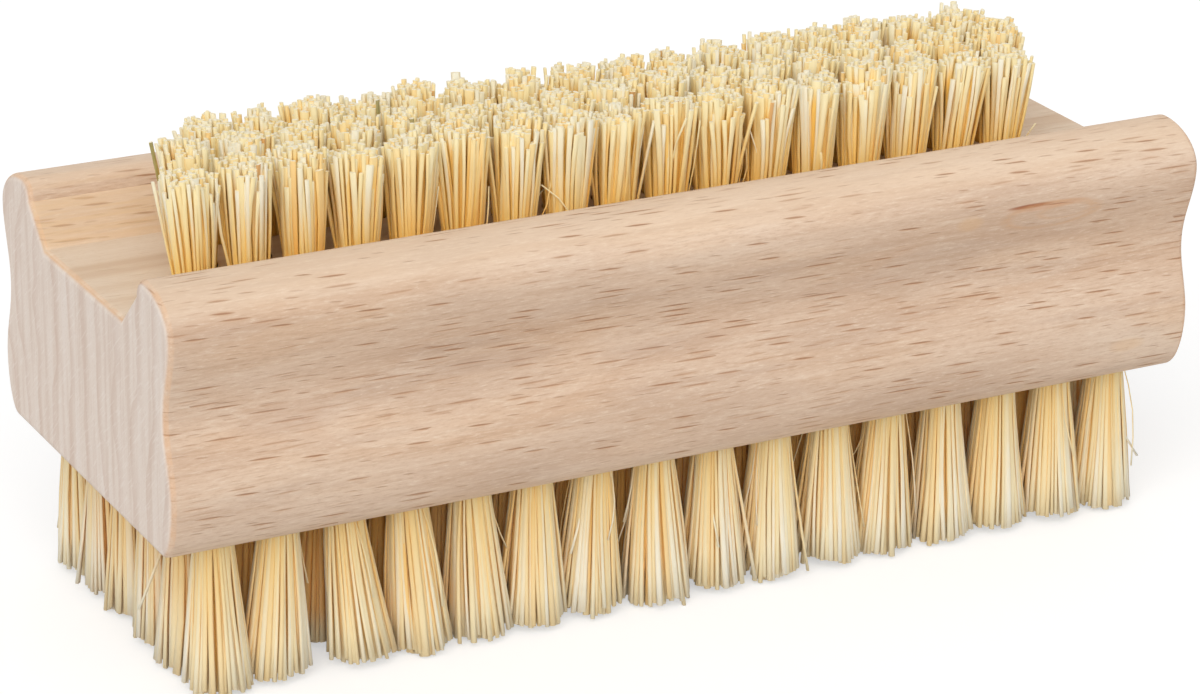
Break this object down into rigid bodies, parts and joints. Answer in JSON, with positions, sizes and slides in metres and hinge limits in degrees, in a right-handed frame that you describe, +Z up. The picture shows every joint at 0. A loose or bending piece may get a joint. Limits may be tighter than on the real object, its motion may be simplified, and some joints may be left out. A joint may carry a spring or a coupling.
{
  "type": "nail brush",
  "caption": "Two-sided wooden nail brush: short bristle tufts in a groove on top, a wide field of longer tufts below, and waisted finger grips along both sides.",
  "frame": {"origin": "middle of the brush, on the plane that the lower bristle tips stand on", "axes": "+X along the block, +Y across it, +Z up, towards the tips of the upper bristles"},
  "size_m": [0.095, 0.0358, 0.0417],
  "materials": {
    "wood": "matte",
    "top_bristle": "matte",
    "bottom_bristle": "matte",
    "wire": "satin"
  },
  "bodies": {
    "root": {"wooden_block": "wood", "top_tufts_front": "top_bristle", "top_tufts_middle": "top_bristle", "top_tufts_back": "top_bristle", "bottom_tufts_row_1": "bottom_bristle", "bottom_tufts_row_2": "bottom_bristle", "bottom_tufts_row_3": "bottom_bristle", "bottom_tufts_row_4": "bottom_bristle", "bottom_tufts_row_5": "bottom_bristle", "bottom_tufts_row_6": "bottom_bristle", "top_anchor_wires": "wire", "bottom_anchor_wires": "wire"}
  },
  "joints": []
}
